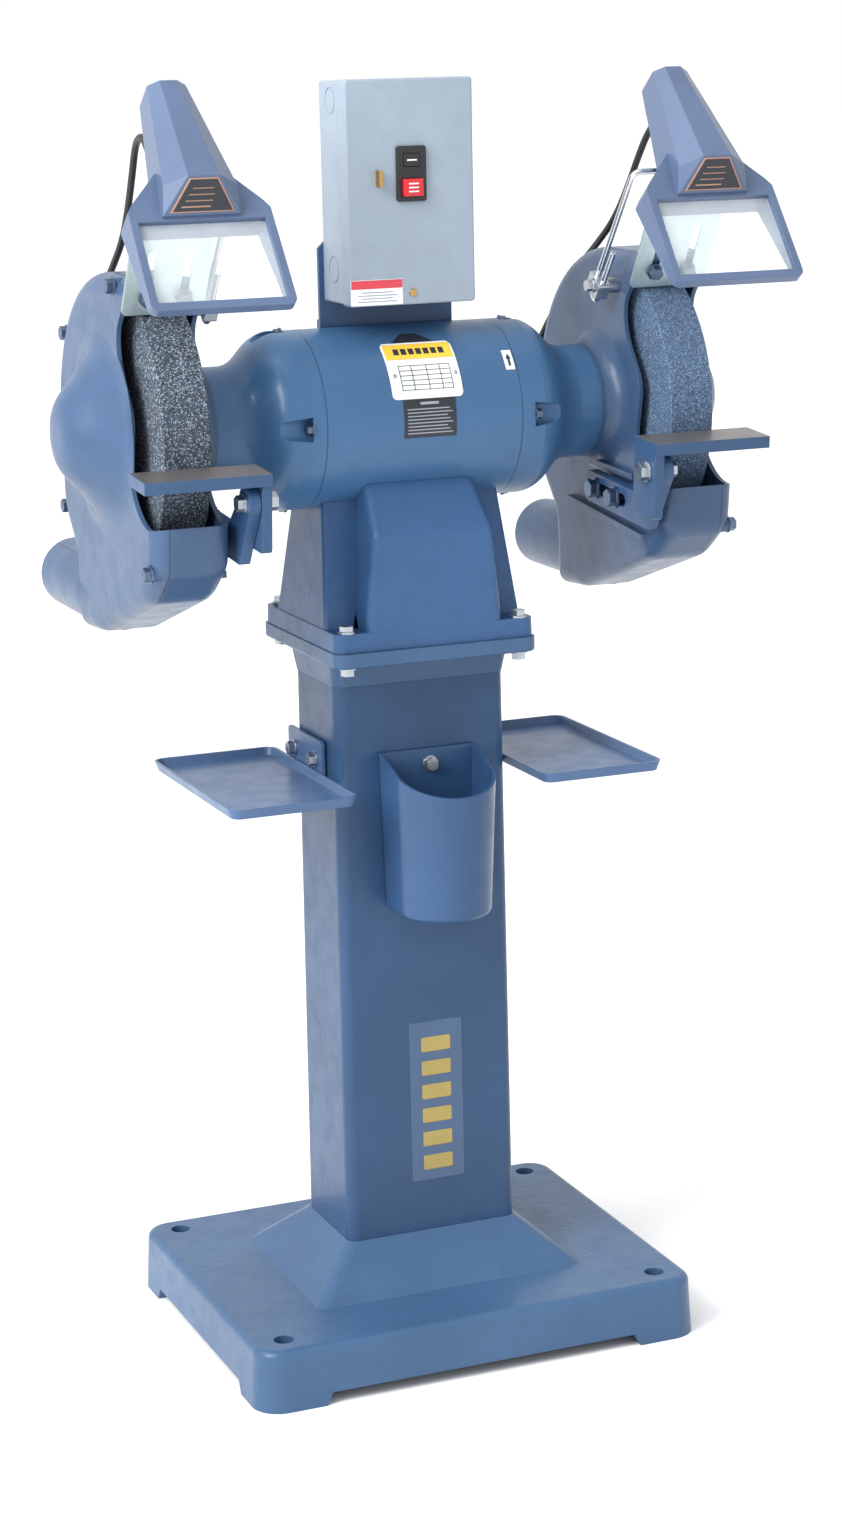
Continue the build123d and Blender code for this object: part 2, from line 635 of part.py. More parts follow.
KNUCKLE = (-138, 1280)
CLAMP = (-50.5, 1157)
CLAMP_X = 222
LENS_UP = 46
LENS_HALF = 66
SILL_T = 10
HOOD_T = 33
HOOD_WALL = 3.5
HOOD_OUTER = ((50, 40, 3, 39.5, 3.4), (74, 37.6, 17.3, 16, 34), (206, 20, 0, 9, 8.5))
HOOD_INNER = ((78, 34, 13.9, 14.5, 29.5), (196, 16.5, -1.6, 7, 6))
with BuildPart() as shield_housing:
    with BuildSketch(shield_plane(-HOOD_T)):
        with BuildLine():
            FilletPolyline((-74, -55), (74, -55), (73, 58), (67, 67), (36, 102), (-36, 102), (-67, 67),
                           (-73, 58), radius=[8, 8, 4, 4, 4, 4, 4, 4], close=True)
        make_face()
    extrude(amount=HOOD_T)
    with BuildSketch(Plane(origin=(SHIELD_X - 80, SHIELD_Y, SHIELD_Z), x_dir=(0, UP[0], UP[1]),
                           z_dir=(1, 0, 0))):
        Polygon((-56, -SILL_T), (-56, 1), (103, 1), (103, -HOOD_T - 1), (62, -HOOD_T - 1), align=None)
    extrude(amount=160, mode=Mode.INTERSECT)
    loft([hood_section(*section, HOOD_T) for section in HOOD_OUTER], ruled=True)
    with BuildSketch(shield_plane(-HOOD_T - 2)):
        with BuildLine():
            Polyline((-LENS_HALF, -LENS_UP), (LENS_HALF, -LENS_UP), (LENS_HALF - 1, LENS_UP),
                     (1 - LENS_HALF, LENS_UP), close=True)
        make_face()
    extrude(amount=60, mode=Mode.SUBTRACT)
    loft([hood_section(*section, 10) for section in HOOD_INNER], ruled=True, mode=Mode.SUBTRACT)
    with BuildSketch(shield_plane(HOOD_WALL - HOOD_T)):
        with BuildLine():
            Polyline((-65, 54), (65, 54), (67, 57), (31, 96), (15.5, 196), (-15.5, 196), (-31, 96),
                     (-67, 57), close=True)
        make_face()
    extrude(amount=HOOD_T - 2 * HOOD_WALL, mode=Mode.SUBTRACT)
    with BuildSketch(shield_plane(-HOOD_T - 10)):
        with BuildLine():
            Polyline((-62, 54), (62, 54), (62, 58), (34, 88), (-34, 88), (-62, 58), close=True)
        make_face()
    extrude(amount=20, mode=Mode.SUBTRACT)
    with BuildSketch(side(SHIELD_X - 12)):
        with Locations(KNUCKLE):
            Circle(8.5)
        with BuildLine():
            Polyline((KNUCKLE[0] - 8, KNUCKLE[1] - 2), (KNUCKLE[0] + 2, KNUCKLE[1] + 8),
                     (KNUCKLE[0] - 5, KNUCKLE[1] + 13.4), (KNUCKLE[0] - 12.5, KNUCKLE[1] + 4.6), close=True)
        make_face()
    extrude(amount=24)
    with BuildSketch(side(SHIELD_X - 13)):
        with Locations(KNUCKLE):
            Circle(ROD_R + 0.06)
    extrude(amount=26, mode=Mode.SUBTRACT)
save_pair(shield_housing, "shield_housing")

with BuildPart() as shield_lens:
    with BuildSketch(shield_plane(-8)):
        with BuildLine():
            Polyline((0.2 - LENS_HALF, 0.2 - LENS_UP), (LENS_HALF - 0.2, 0.2 - LENS_UP),
                     (LENS_HALF - 1.1, LENS_UP - 0.8), (1.1 - LENS_HALF, LENS_UP - 0.8), close=True)
        make_face()
    extrude(amount=3)
save_pair(shield_lens, "shield_lens")

LAMP_DEPTH = HOOD_T / 2
LAMP_R = 9
with BuildPart() as lamp_socket:
    seat = shield_plane(-LAMP_DEPTH, 118)
    with BuildSketch(Plane(origin=seat.origin, x_dir=(1, 0, 0), z_dir=(0, UP[0], UP[1]))):
        Circle(LAMP_R)
    extrude(amount=34)
    with BuildSketch(shield_plane(-LAMP_DEPTH, 134)):
        Rectangle(16, 8)
    extrude(amount=HOOD_WALL - LAMP_DEPTH)
save_pair(lamp_socket, "lamp_socket")

with BuildPart() as lamp_bulb:
    with BuildSketch(Plane(origin=seat.origin, x_dir=(1, 0, 0), z_dir=(0, FACE[0], FACE[1]))):
        with BuildLine():
            Polyline((0, 0), (7, 0), (7, -8))
            Spline((7, -8), (LAMP_R - 1.5, -22), (0, -50), tangents=[(0.1, -1), (-1, 0)])
            Line((0, -50), (0, 0))
        make_face()
    revolve(axis=Axis(seat.origin, (0, UP[0], UP[1])))
save_pair(lamp_bulb, "lamp_bulb")

ROD_LINE = (CLAMP[0] + 5.5, CLAMP[1] + 4.4)
ROD_RUN = math.hypot(KNUCKLE[0] - ROD_LINE[0], KNUCKLE[1] - ROD_LINE[1])
ROD_UP = ((KNUCKLE[0] - ROD_LINE[0]) / ROD_RUN, (KNUCKLE[1] - ROD_LINE[1]) / ROD_RUN)
ROD_SIDE = (-ROD_UP[1], ROD_UP[0])


def rod_point(along, across):
    """Point in the rod's plane by distance up the rod from the clamp and forward of it."""
    return Vector(CLAMP_X, ROD_LINE[0] + along * ROD_UP[0] + across * ROD_SIDE[0],
                  ROD_LINE[1] + along * ROD_UP[1] + across * ROD_SIDE[1])


with BuildPart() as shield_rod:
    with BuildLine() as rod_path:
        FilletPolyline((SHIELD_X + 22, KNUCKLE[0], KNUCKLE[1]), (CLAMP_X, KNUCKLE[0], KNUCKLE[1]),
                       rod_point(-18, 0), rod_point(-18, 14), rod_point(52, 14), radius=[9, 6.9, 6.9])
    with BuildSketch(Plane(origin=rod_path.line @ 0, z_dir=rod_path.line % 0)):
        Circle(ROD_R)
    sweep()
save_pair(shield_rod, "shield_rod")

middle = rod_point(0, 7)
with BuildPart() as shield_clamp:
    with BuildSketch(Plane(origin=(CLAMP_X - 7, middle.Y, middle.Z), x_dir=(0, ROD_SIDE[0], ROD_SIDE[1]),
                           z_dir=(1, 0, 0))):
        RectangleRounded(27, 20, 3)
    extrude(amount=14)
    with BuildSketch(side(CLAMP_X - 8)):
        with Locations((middle.Y, middle.Z)):
            Circle(3.06)
    extrude(amount=16, mode=Mode.SUBTRACT)
    for across in (0, 14):
        low = rod_point(-16, across)
        with BuildSketch(Plane(origin=low, z_dir=(0, ROD_UP[0], ROD_UP[1]))):
            Circle(ROD_R)
        extrude(amount=40, mode=Mode.SUBTRACT)
save_pair(shield_clamp, "shield_clamp")

with BuildPart() as shield_stud:
    hex_bolt(Plane(origin=(CLAMP_X - 7.2, middle.Y, middle.Z), z_dir=(-1, 0, 0)), 11, 6, 3, 26)
    with BuildSketch(side(CLAMP_X + 7.2)):
        with Locations((middle.Y, middle.Z)):
            Circle(9)
    extrude(amount=GUARD_IN - CLAMP_X - 7.2)
save_both(shield_stud, "shield_studs")

# ---- lamp leads ----
GLAND_X = SHIELD_X + 19.5
GLAND_UP = UP
LEAD_START = (GLAND_X, KNUCKLE[0] + 20 * GLAND_UP[0], KNUCKLE[1] + 20 * GLAND_UP[1])
with BuildPart() as lead_gland:
    with BuildSketch(Plane(origin=(GLAND_X, KNUCKLE[0] + ROD_R * GLAND_UP[0],
                                   KNUCKLE[1] + ROD_R * GLAND_UP[1]), z_dir=(0, *GLAND_UP))):
        Circle(6.5)
    extrude(amount=20 - ROD_R)
    with BuildSketch(side(GLAND_X - 2.9)):
        with Locations(KNUCKLE):
            Circle(6.5)
            Circle(ROD_R, mode=Mode.SUBTRACT)
    extrude(amount=4.8)
    with BuildSketch(side(GLAND_X - 7)):
        with Locations(KNUCKLE):
            Circle(ROD_R)
    extrude(amount=14, mode=Mode.SUBTRACT)
save_pair(lead_gland, "lead_gland")

LEAD_ROUTE = (
    LEAD_START,
    (GLAND_X, KNUCKLE[0] + 44 * GLAND_UP[0], KNUCKLE[1] + 44 * GLAND_UP[1]),
    (294.5, -86, 1330),
    (292, -62, 1330.5),
    (289.5, -40, 1320.5),
    (287, -17, 1290),
    (285.5, 5, 1258),
    (284, 34, 1223),
    (283, 74, 1195),
    (281, 126, 1163),
    (268, 166, 1112),
    (246, 186, 1052),
    (214, 178, 1010),
    (180, 160, 987),
    (154, 133, 983),
    LEAD_END,
)


def bend_radii(route):
    """Radius at each inner point: 0.45 of the shorter run over the tangent of half the turn."""
    radii = []
    for before, here, after in zip(route, route[1:], route[2:]):
        run_in = Vector(*here) - Vector(*before)
        run_out = Vector(*after) - Vector(*here)
        turn = math.radians(run_in.get_angle(run_out))
        radii.append(0.45 * min(run_in.length, run_out.length) / math.tan(turn / 2))
    return radii


lead_radii = bend_radii(LEAD_ROUTE)
print("lamp lead radii", [round(r, 1) for r in lead_radii])
with BuildPart() as lamp_lead:
    with BuildLine() as lead_path:
        FilletPolyline(*LEAD_ROUTE, radius=lead_radii)
    with BuildSketch(Plane(origin=lead_path.line @ 0, z_dir=lead_path.line % 0)):
        Circle(CABLE_R)
    sweep()
lead_length = lead_path.wires()[0].length
lead_volume = math.pi * CABLE_R ** 2 * lead_length
print("lamp lead length", round(lead_length, 1), "volume ratio", round(lamp_lead.part.volume / lead_volume, 4))
save_pair(lamp_lead, "lamp_lead")

# ---- switch box on its bracket ----
with BuildPart() as switch_bracket:
    with BuildSketch(Plane.XZ.offset(-BOX_BACK)):
        with BuildLine():
            Polyline((-76, 1100), (76, 1100), (76, 1206), (66, 1216), (66, 1330), (-66, 1330),
                     (-66, 1216), (-76, 1206), close=True)
        make_face()
    extrude(amount=-5)
    with BuildSketch(Plane.XY.offset(1090)):
        with Locations((0, BOX_BACK + 20)):
            Rectangle(130, 40)
    extrude(amount=38)
    with BuildSketch(spindle(-80)):
        Circle(MOTOR_R)
    extrude(amount=160, mode=Mode.SUBTRACT)
    with BuildSketch(Plane.XY.offset(1060)):
        with GridLocations(90, 0, 2, 1):
            with Locations((0, BOX_BACK + 24)):
                Circle(4)
    extrude(amount=90, mode=Mode.SUBTRACT)
save(switch_bracket, "switch_bracket")

with BuildPart() as switch_box:
    with BuildSketch(Plane.XZ.offset(-BOX_BACK)):
        with Locations((0, (BOX_LOW + BOX_HIGH) / 2)):
            RectangleRounded(2 * BOX_HALF - 3, BOX_HIGH - BOX_LOW - 3, 3)
    extrude(amount=BOX_BACK - BOX_FRONT - 3)
    with BuildSketch(Plane.XZ.offset(2 - BOX_BACK)):
        with Locations((0, (BOX_LOW + BOX_HIGH) / 2)):
            RectangleRounded(2 * BOX_HALF - 6, BOX_HIGH - BOX_LOW - 6, 2)
    extrude(amount=90, mode=Mode.SUBTRACT)
    for hand in (-1, 1):
        for z in (1359, 1185):
            with BuildSketch(side(hand * (BOX_HALF - 1.5))):
                with Locations((-18, z)):
                    Circle(14)
                    Circle(12.6, mode=Mode.SUBTRACT)
            extrude(amount=-hand * 0.6, mode=Mode.SUBTRACT)
save(switch_box, "switch_box")

BEZEL_X = 0
BEZEL_Z = 1284
with BuildPart() as switch_cover:
    with BuildSketch(Plane.XZ.offset(-BOX_JOIN)):
        with Locations((0, (BOX_LOW + BOX_HIGH) / 2)):
            RectangleRounded(2 * BOX_HALF, BOX_HIGH - BOX_LOW, 4)
    extrude(amount=BOX_JOIN - BOX_FRONT)
    fillet(switch_cover.faces().sort_by(Axis.Y)[0].edges(), 2.5)
    with BuildSketch(Plane.XZ.offset(-BOX_JOIN - 1)):
        with Locations((0, (BOX_LOW + BOX_HIGH) / 2)):
            RectangleRounded(2 * BOX_HALF - 3, BOX_HIGH - BOX_LOW - 3, 3)
    extrude(amount=BOX_JOIN - BOX_FRONT - 1.5, mode=Mode.SUBTRACT)
    with BuildSketch(Plane.XZ.offset(-BOX_JOIN)):
        with Locations((BEZEL_X, BEZEL_Z)):
            Rectangle(27, 50)
    extrude(amount=30, mode=Mode.SUBTRACT)
save(switch_cover, "switch_cover")

BUTTON_GAP = 0.4
START_SIZE = (18, 13)
STOP_SIZE = (22, 18)
START_Z = BEZEL_Z + 14
STOP_Z = BEZEL_Z - 14
with BuildPart() as button_bezel:
    with BuildSketch(Plane.XZ.offset(-BOX_FRONT)):
        with Locations((BEZEL_X, BEZEL_Z)):
            RectangleRounded(33, 57, 3)
    extrude(amount=4)
    fillet(button_bezel.faces().sort_by(Axis.Y)[0].edges(), 1)
    with BuildSketch(Plane.XZ.offset(-BOX_FRONT - 12)):
        with Locations((BEZEL_X, BEZEL_Z)):
            Rectangle(27, 50)
    extrude(amount=13)
    for z, size in ((START_Z, START_SIZE), (STOP_Z, STOP_SIZE)):
        with BuildSketch(Plane.XZ.offset(-BOX_FRONT - 13)):
            with Locations((BEZEL_X, z)):
                Rectangle(size[0] + 2 * BUTTON_GAP, size[1] + 2 * BUTTON_GAP)
        extrude(amount=30, mode=Mode.SUBTRACT)
save(button_bezel, "button_bezel")

for name, z, size, proud in (("start_button", START_Z, START_SIZE, 5), ("stop_button", STOP_Z, STOP_SIZE, 9)):
    with BuildPart() as button:
        with BuildSketch(Plane.XZ.offset(-BOX_FRONT - 10)):
            with Locations((BEZEL_X, z)):
                RectangleRounded(size[0], size[1], 1)
        extrude(amount=10 + proud)
        fillet(button.faces().sort_by(Axis.Y)[0].edges(), 0.8)
    save(button, name)

with BuildPart() as starter:
    with BuildSketch(Plane.XZ.offset(2 - BOX_BACK)):
        with Locations((0, BEZEL_Z)):
            RectangleRounded(64, 92, 3)
    extrude(amount=34)
save(starter, "starter")

with BuildPart() as hasp:
    with BuildSketch(Plane.XZ.offset(-BOX_FRONT)):
        with Locations((-37, 1280)):
            RectangleRounded(4, 17, 1)
    extrude(amount=11)
    with BuildSketch(side(-45)):
        with Locations((BOX_FRONT - 6.5, 1280)):
            Circle(3)
    extrude(amount=16, mode=Mode.SUBTRACT)
save(hasp, "hasp")

with BuildPart() as cover_screw:
    with BuildSketch(Plane.XZ.offset(-BOX_FRONT)):
        with Locations((0, BOX_LOW + 12)):
            Circle(4)
    extrude(amount=2.2)
    fillet(cover_screw.faces().sort_by(Axis.Y)[0].edges(), 0.8)
save(cover_screw, "cover_screw")

# ---- plates on the motor ----
with BuildPart() as nameplate:
    with BuildSketch(spindle(-37)):
        Circle(MOTOR_R + 0.9)
        Circle(MOTOR_R, mode=Mode.SUBTRACT)
    extrude(amount=82)
    with BuildSketch(Plane.XZ.offset(20)):
        with Locations((4, 1080.5)):
            RectangleRounded(80, 55, 5)
    extrude(amount=100, mode=Mode.INTERSECT)
save(nameplate, "nameplate")

# ---- trays and water pot ----
TRAY_X = (TRAY_IN + TRAY_OUT) / 2
TRAY_Y = (TRAY_BACK + TRAY_FRONT) / 2
TRAY_W = TRAY_OUT - TRAY_IN
TRAY_L = TRAY_BACK - TRAY_FRONT
TAB_Y = 20
with BuildPart() as tray:
    with BuildSketch(Plane.XY.offset(TRAY_TOP - TRAY_RIM)):
        with Locations((TRAY_X, TRAY_Y)):
            RectangleRounded(TRAY_W - 8, TRAY_L - 8, 10)
    with BuildSketch(Plane.XY.offset(TRAY_TOP)):
        with Locations((TRAY_X, TRAY_Y)):
            RectangleRounded(TRAY_W, TRAY_L, 14)
    loft()
    with BuildSketch(Plane.XY.offset(TRAY_TOP - TRAY_RIM + TRAY_T)):
        with Locations((TRAY_X, TRAY_Y)):
            RectangleRounded(TRAY_W - 12, TRAY_L - 12, 8)
    with BuildSketch(Plane.XY.offset(TRAY_TOP + 0.1)):
        with Locations((TRAY_X, TRAY_Y)):
            RectangleRounded(TRAY_W - 6, TRAY_L - 6, 11)
    loft(mode=Mode.SUBTRACT)
    with BuildSketch(side(TRAY_IN - 5)):
        with Locations((TAB_Y, TRAY_TOP + 11)):
            RectangleRounded(104, 46, 5)
    extrude(amount=4)
    with BuildSketch(side(TRAY_IN - 5)):
        with Locations((TAB_Y, TRAY_TOP - 5)):
            Rectangle(104, 8)
    extrude(amount=9)
    with BuildSketch(side(TRAY_IN - 20)):
        with GridLocations(64, 0, 2, 1):
            with Locations((TAB_Y, TRAY_TOP + 12)):
                Circle(4)
    extrude(amount=40, mode=Mode.SUBTRACT)
save_both(tray, "trays")


def pot_outline(half, straight, depth, back=0):
    """D outline of the pot, flat along the column and round in front."""
    Polyline((POT_X - half, POT_Y - straight), (POT_X - half, POT_Y - back),
             (POT_X + half, POT_Y - back), (POT_X + half, POT_Y - straight))
    ThreePointArc((POT_X + half, POT_Y - straight), (POT_X, POT_Y - depth), (POT_X - half, POT_Y - straight))


with BuildPart() as water_pot:
    with BuildSketch(Plane.XY.offset(497)):
        with BuildLine():
            pot_outline(51, 46, 92)
        make_face()
    with BuildSketch(Plane.XY.offset(672)):
        with BuildLine():
            pot_outline(56, 52, 104)
        make_face()
    loft()
    fillet(water_pot.faces().sort_by(Axis.Z)[0].edges(), 7)
    with BuildSketch(Plane.XY.offset(501)):
        with BuildLine():
            pot_outline(48, 46, 89, 3)
        make_face()
    with BuildSketch(Plane.XY.offset(673)):
        with BuildLine():
            pot_outline(53, 52, 101, 3)
        make_face()
    loft(mode=Mode.SUBTRACT)
    with BuildSketch(side(POT_X - 80)):
        with BuildLine():
            Polyline((POT_Y + 1, 672), (POT_Y - 8, 670), (POT_Y - 120, 630), (POT_Y - 120, 690),
                     (POT_Y + 1, 690), close=True)
        make_face()
    extrude(amount=160, mode=Mode.SUBTRACT)
    with BuildSketch(Plane.XZ.offset(60)):
        with Locations((POT_X + 2, 655)):
            Circle(4)
    extrude(amount=14, mode=Mode.SUBTRACT)
save(water_pot, "water_pot")

with BuildPart() as accessory_bolts:
    for hand in (-1, 1):
        for y in (TAB_Y - 32, TAB_Y + 32):
            seat_plane = Plane(origin=(hand * (TRAY_IN - 1), y, TRAY_TOP + 12), z_dir=(hand, 0, 0))
            hex_bolt(seat_plane, 13, 7, 4, 20)
        hex_bolt(Plane(origin=(hand * 45, BOX_BACK + 24, 1128), z_dir=(0, 0, 1)), 13, 7, 4, 18)
    hex_bolt(Plane(origin=(POT_X + 2, POT_Y - 3, 655), z_dir=(0, -1, 0)), 13, 7, 4, 20)
save(accessory_bolts, "accessory_bolts")
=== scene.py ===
import math

import bmesh
import bpy
from mathutils import Matrix, Vector


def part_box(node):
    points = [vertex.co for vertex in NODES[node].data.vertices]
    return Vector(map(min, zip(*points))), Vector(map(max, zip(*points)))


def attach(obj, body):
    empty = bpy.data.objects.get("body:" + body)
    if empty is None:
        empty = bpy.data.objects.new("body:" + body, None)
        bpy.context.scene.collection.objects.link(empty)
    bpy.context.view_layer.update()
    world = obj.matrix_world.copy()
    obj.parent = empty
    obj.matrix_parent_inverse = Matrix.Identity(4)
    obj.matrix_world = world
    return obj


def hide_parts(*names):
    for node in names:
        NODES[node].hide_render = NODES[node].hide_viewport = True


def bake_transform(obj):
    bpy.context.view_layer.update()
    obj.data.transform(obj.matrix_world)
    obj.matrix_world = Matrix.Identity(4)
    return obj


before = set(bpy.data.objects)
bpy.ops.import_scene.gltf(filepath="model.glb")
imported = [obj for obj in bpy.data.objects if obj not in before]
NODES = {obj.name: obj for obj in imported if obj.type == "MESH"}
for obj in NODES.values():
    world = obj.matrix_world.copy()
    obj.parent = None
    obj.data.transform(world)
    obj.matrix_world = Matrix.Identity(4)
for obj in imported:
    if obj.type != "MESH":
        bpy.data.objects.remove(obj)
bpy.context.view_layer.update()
ROOT = "pedestal_and_motor"
SIDES = (("left", -1), ("right", 1))
SPINDLE_Z = 1.0283              # height of the motor's axis, m
MOTOR_R = 0.095                 # outside radius of the motor shell, m
PRINT = 0.0002                  # thickness of an ink layer, m


# ---------------------------------------------------------------- materials
class Graph:
    """Small helper for writing one material's node tree."""

    def __init__(self, name):
        self.material = bpy.data.materials.new(name)
        self.material.use_nodes = True
        self.tree = self.material.node_tree
        self.shader = next(n for n in self.tree.nodes if n.type == "BSDF_PRINCIPLED")
        self.coords = self.add("ShaderNodeTexCoord")

    def add(self, kind, **values):
        node = self.tree.nodes.new(kind)
        for key, value in values.items():
            setattr(node, key, value)
        return node

    def link(self, source, target):
        self.tree.links.new(source, target)

    def feed(self, socket, value):
        if isinstance(value, bpy.types.NodeSocket):
            self.link(value, socket)
        else:
            socket.default_value = value

    def math(self, operation, *values, clamp=False):
        node = self.add("ShaderNodeMath", operation=operation, use_clamp=clamp)
        for socket, value in zip(node.inputs, values):
            self.feed(socket, value)
        return node.outputs[0]

    def noise(self, scale, detail=3.0, rough=0.55, stretch=None):
        node = self.add("ShaderNodeTexNoise")
        node.inputs["Scale"].default_value = scale
        node.inputs["Detail"].default_value = detail
        node.inputs["Roughness"].default_value = rough
        source = self.coords.outputs["Object"]
        if stretch:
            mapping = self.add("ShaderNodeMapping")
            mapping.inputs["Scale"].default_value = stretch
            self.link(source, mapping.inputs["Vector"])
            source = mapping.outputs["Vector"]
        self.link(source, node.inputs["Vector"])
        return node.outputs["Fac"]

    def span(self, value, low, high, to_low=0.0, to_high=1.0):
        node = self.add("ShaderNodeMapRange")
        for socket, item in zip(node.inputs, (value, low, high, to_low, to_high)):
            self.feed(socket, item)
        return node.outputs["Result"]

    def mix(self, amount, first, second):
        node = self.add("ShaderNodeMix", data_type="RGBA")
        self.feed(node.inputs["Factor"], amount)
        for key, value in (("A", first), ("B", second)):
            socket = next(i for i in node.inputs if i.name == key and i.type == "RGBA")
            self.feed(socket, value)
        return next(o for o in node.outputs if o.type == "RGBA")

    def axis(self, which):
        node = self.add("ShaderNodeSeparateXYZ")
        self.link(self.coords.outputs["Object"], node.inputs[0])
        return node.outputs["XYZ".index(which)]

    def edge(self, radius=0.0015):
        """1 along sharp edges, 0 on open faces, with the softened normal."""
        bevel = self.add("ShaderNodeBevel", samples=4)
        bevel.inputs["Radius"].default_value = radius
        geometry = self.add("ShaderNodeNewGeometry")
        dot = self.add("ShaderNodeVectorMath", operation="DOT_PRODUCT")
        self.link(bevel.outputs[0], dot.inputs[0])
        self.link(geometry.outputs["Normal"], dot.inputs[1])
        return self.span(dot.outputs["Value"], 0.97, 0.80), bevel.outputs[0]

    def bump(self, height, strength, distance, normal=None):
        node = self.add("ShaderNodeBump")
        node.inputs["Strength"].default_value = strength
        node.inputs["Distance"].default_value = distance
        self.link(height, node.inputs["Height"])
        if normal is not None:
            self.link(normal, node.inputs["Normal"])
        return node.outputs["Normal"]

    def finish(self, colour, roughness, normal=None, **values):
        self.feed(self.shader.inputs["Base Color"], colour)
        self.feed(self.shader.inputs["Roughness"], roughness)
        if normal is not None:
            self.link(normal, self.shader.inputs["Normal"])
        for key, value in values.items():
            self.shader.inputs[key.replace("_", " ")].default_value = value
        return self.material


def rgb(red, green, blue):
    """Display colour 0-255 to scene-linear RGBA."""
    def linear(value):
        value = value / 255
        return value / 12.92 if value <= 0.04045 else ((value + 0.055) / 1.055) ** 2.4
    return (linear(red), linear(green), linear(blue), 1.0)


def shade(colour, factor):
    return tuple(c * factor for c in colour[:3]) + (1.0,)


def paint(name, colour, rough=0.33, cast=0.25, peel=0.06, wear_and_highlight=0.35, seams=(), bare=None):
    """Enamel over metal: mottled colour, orange peel, cast waviness, edges painted lighter, partly
    worn and partly a painted highlight.
    """
    g = Graph(name)
    large = g.noise(4.0, 2.0)
    patch = g.noise(38.0, 4.0)
    fine = g.noise(900.0, 2.0)
    base = g.mix(g.span(large, 0.35, 0.65), shade(colour, 0.90), shade(colour, 1.10))
    base = g.mix(g.span(patch, 0.45, 0.75, 0.0, 0.45), base, shade(colour, 0.86))
    # edges painted lighter where chipped: partly worn paint, partly a painted highlight along the
    # edges
    edge, soft = g.edge()
    chips = g.span(g.noise(140.0, 4.0), 0.40, 0.62, 0.15, 1.0)
    rubbed_and_highlit = g.math("MULTIPLY", edge, chips, clamp=True)
    pale = tuple(min(1.0, 0.10 + 1.5 * c) for c in colour[:3]) + (1.0,)
    base = g.mix(g.math("MULTIPLY", rubbed_and_highlit, wear_and_highlight), base, pale)
    dust = g.span(g.noise(220.0, 3.0), 0.70, 0.80, 0.0, 0.25)
    base = g.mix(dust, base, shade(colour, 1.35))
    for which, place, width in seams:
        distance = g.math("ABSOLUTE", g.math("SUBTRACT", g.math("ABSOLUTE", g.axis(which)), place))
        line = g.math("LESS_THAN", distance, width)
        base = g.mix(g.math("MULTIPLY", line, 0.6), base, shade(colour, 0.25))
    roughness = g.span(patch, 0.3, 0.7, rough - 0.05, rough + 0.08)
    normal = g.bump(fine, peel, 0.0004, soft)
    if cast:
        normal = g.bump(g.noise(150.0, 5.0, 0.6), cast, 0.0012, normal)
    if bare:
        vector, limit = bare
        dot = g.add("ShaderNodeVectorMath", operation="DOT_PRODUCT")
        g.link(g.coords.outputs["Normal"], dot.inputs[0])
        dot.inputs[1].default_value = vector
        flat = g.math("GREATER_THAN", dot.outputs["Value"], limit)
        grain = g.noise(60.0, 5.0, 0.6, (0.6, 14.0, 1.0))
        steel = g.mix(grain, rgb(96, 92, 92), rgb(160, 154, 150))
        steel = g.mix(g.span(patch, 0.4, 0.7, 0.0, 0.6), steel, rgb(118, 116, 122))
        base = g.mix(flat, base, steel)
        roughness = g.span(flat, 0.0, 1.0, roughness, 0.42)
        g.link(g.math("MULTIPLY", flat, 0.75), g.shader.inputs["Metallic"])
    return g.finish(base, roughness, normal,
                    Specular_IOR_Level=0.3, Coat_Weight=0.12, Coat_Roughness=0.10)


def metal(name, colour, rough=0.28, grain=(1.0, 1.0, 1.0), tarnish=0.4, bump=0.08):
    """Plated or bare metal with fine grain, blotches, and edges painted lighter as a painted
    highlight.
    """
    g = Graph(name)
    streak = g.noise(260.0, 4.0, 0.6, grain)
    blotch = g.noise(48.0, 4.0)
    base = g.mix(streak, shade(colour, 0.86), shade(colour, 1.10))
    base = g.mix(g.span(blotch, 0.50, 0.78, 0.0, tarnish), base, shade(colour, 0.55))
    edge, soft = g.edge(0.0008)
    # painted highlight: edges made lighter along the bevel
    base = g.mix(g.math("MULTIPLY", edge, 0.5), base, shade(colour, 1.25))
    roughness = g.span(blotch, 0.3, 0.7, rough - 0.05, rough + 0.12)
    g.shader.inputs["Metallic"].default_value = 1.0
    return g.finish(base, roughness, g.bump(streak, bump, 0.0004, soft))


def plastic(name, colour, rough=0.42, grain=0.12, coat=0.0, wear_and_highlight=0.3):
    """Moulded plastic with a fine spark texture, scuffs, and edges painted lighter, partly worn
    and partly a painted highlight.
    """
    g = Graph(name)
    cloud = g.noise(14.0, 3.0)
    spark = g.noise(1400.0, 2.0)
    base = g.mix(g.span(cloud, 0.35, 0.65), shade(colour, 0.93), shade(colour, 1.07))
    # edges painted lighter: partly worn, partly a painted highlight along the edges
    edge, soft = g.edge(0.0012)
    pale = tuple(min(1.0, 0.05 + 1.25 * c) for c in colour[:3]) + (1.0,)
    base = g.mix(g.math("MULTIPLY", edge, wear_and_highlight), base, pale)
    scuff = g.span(g.noise(90.0, 5.0, 0.65, (1.0, 0.3, 2.2)), 0.62, 0.75, 0.0, 0.35)
    base = g.mix(scuff, base, shade(colour, 1.18))
    roughness = g.span(cloud, 0.3, 0.7, rough - 0.05, rough + 0.07)
    return g.finish(base, roughness, g.bump(spark, grain, 0.0003, soft), Coat_Weight=coat)


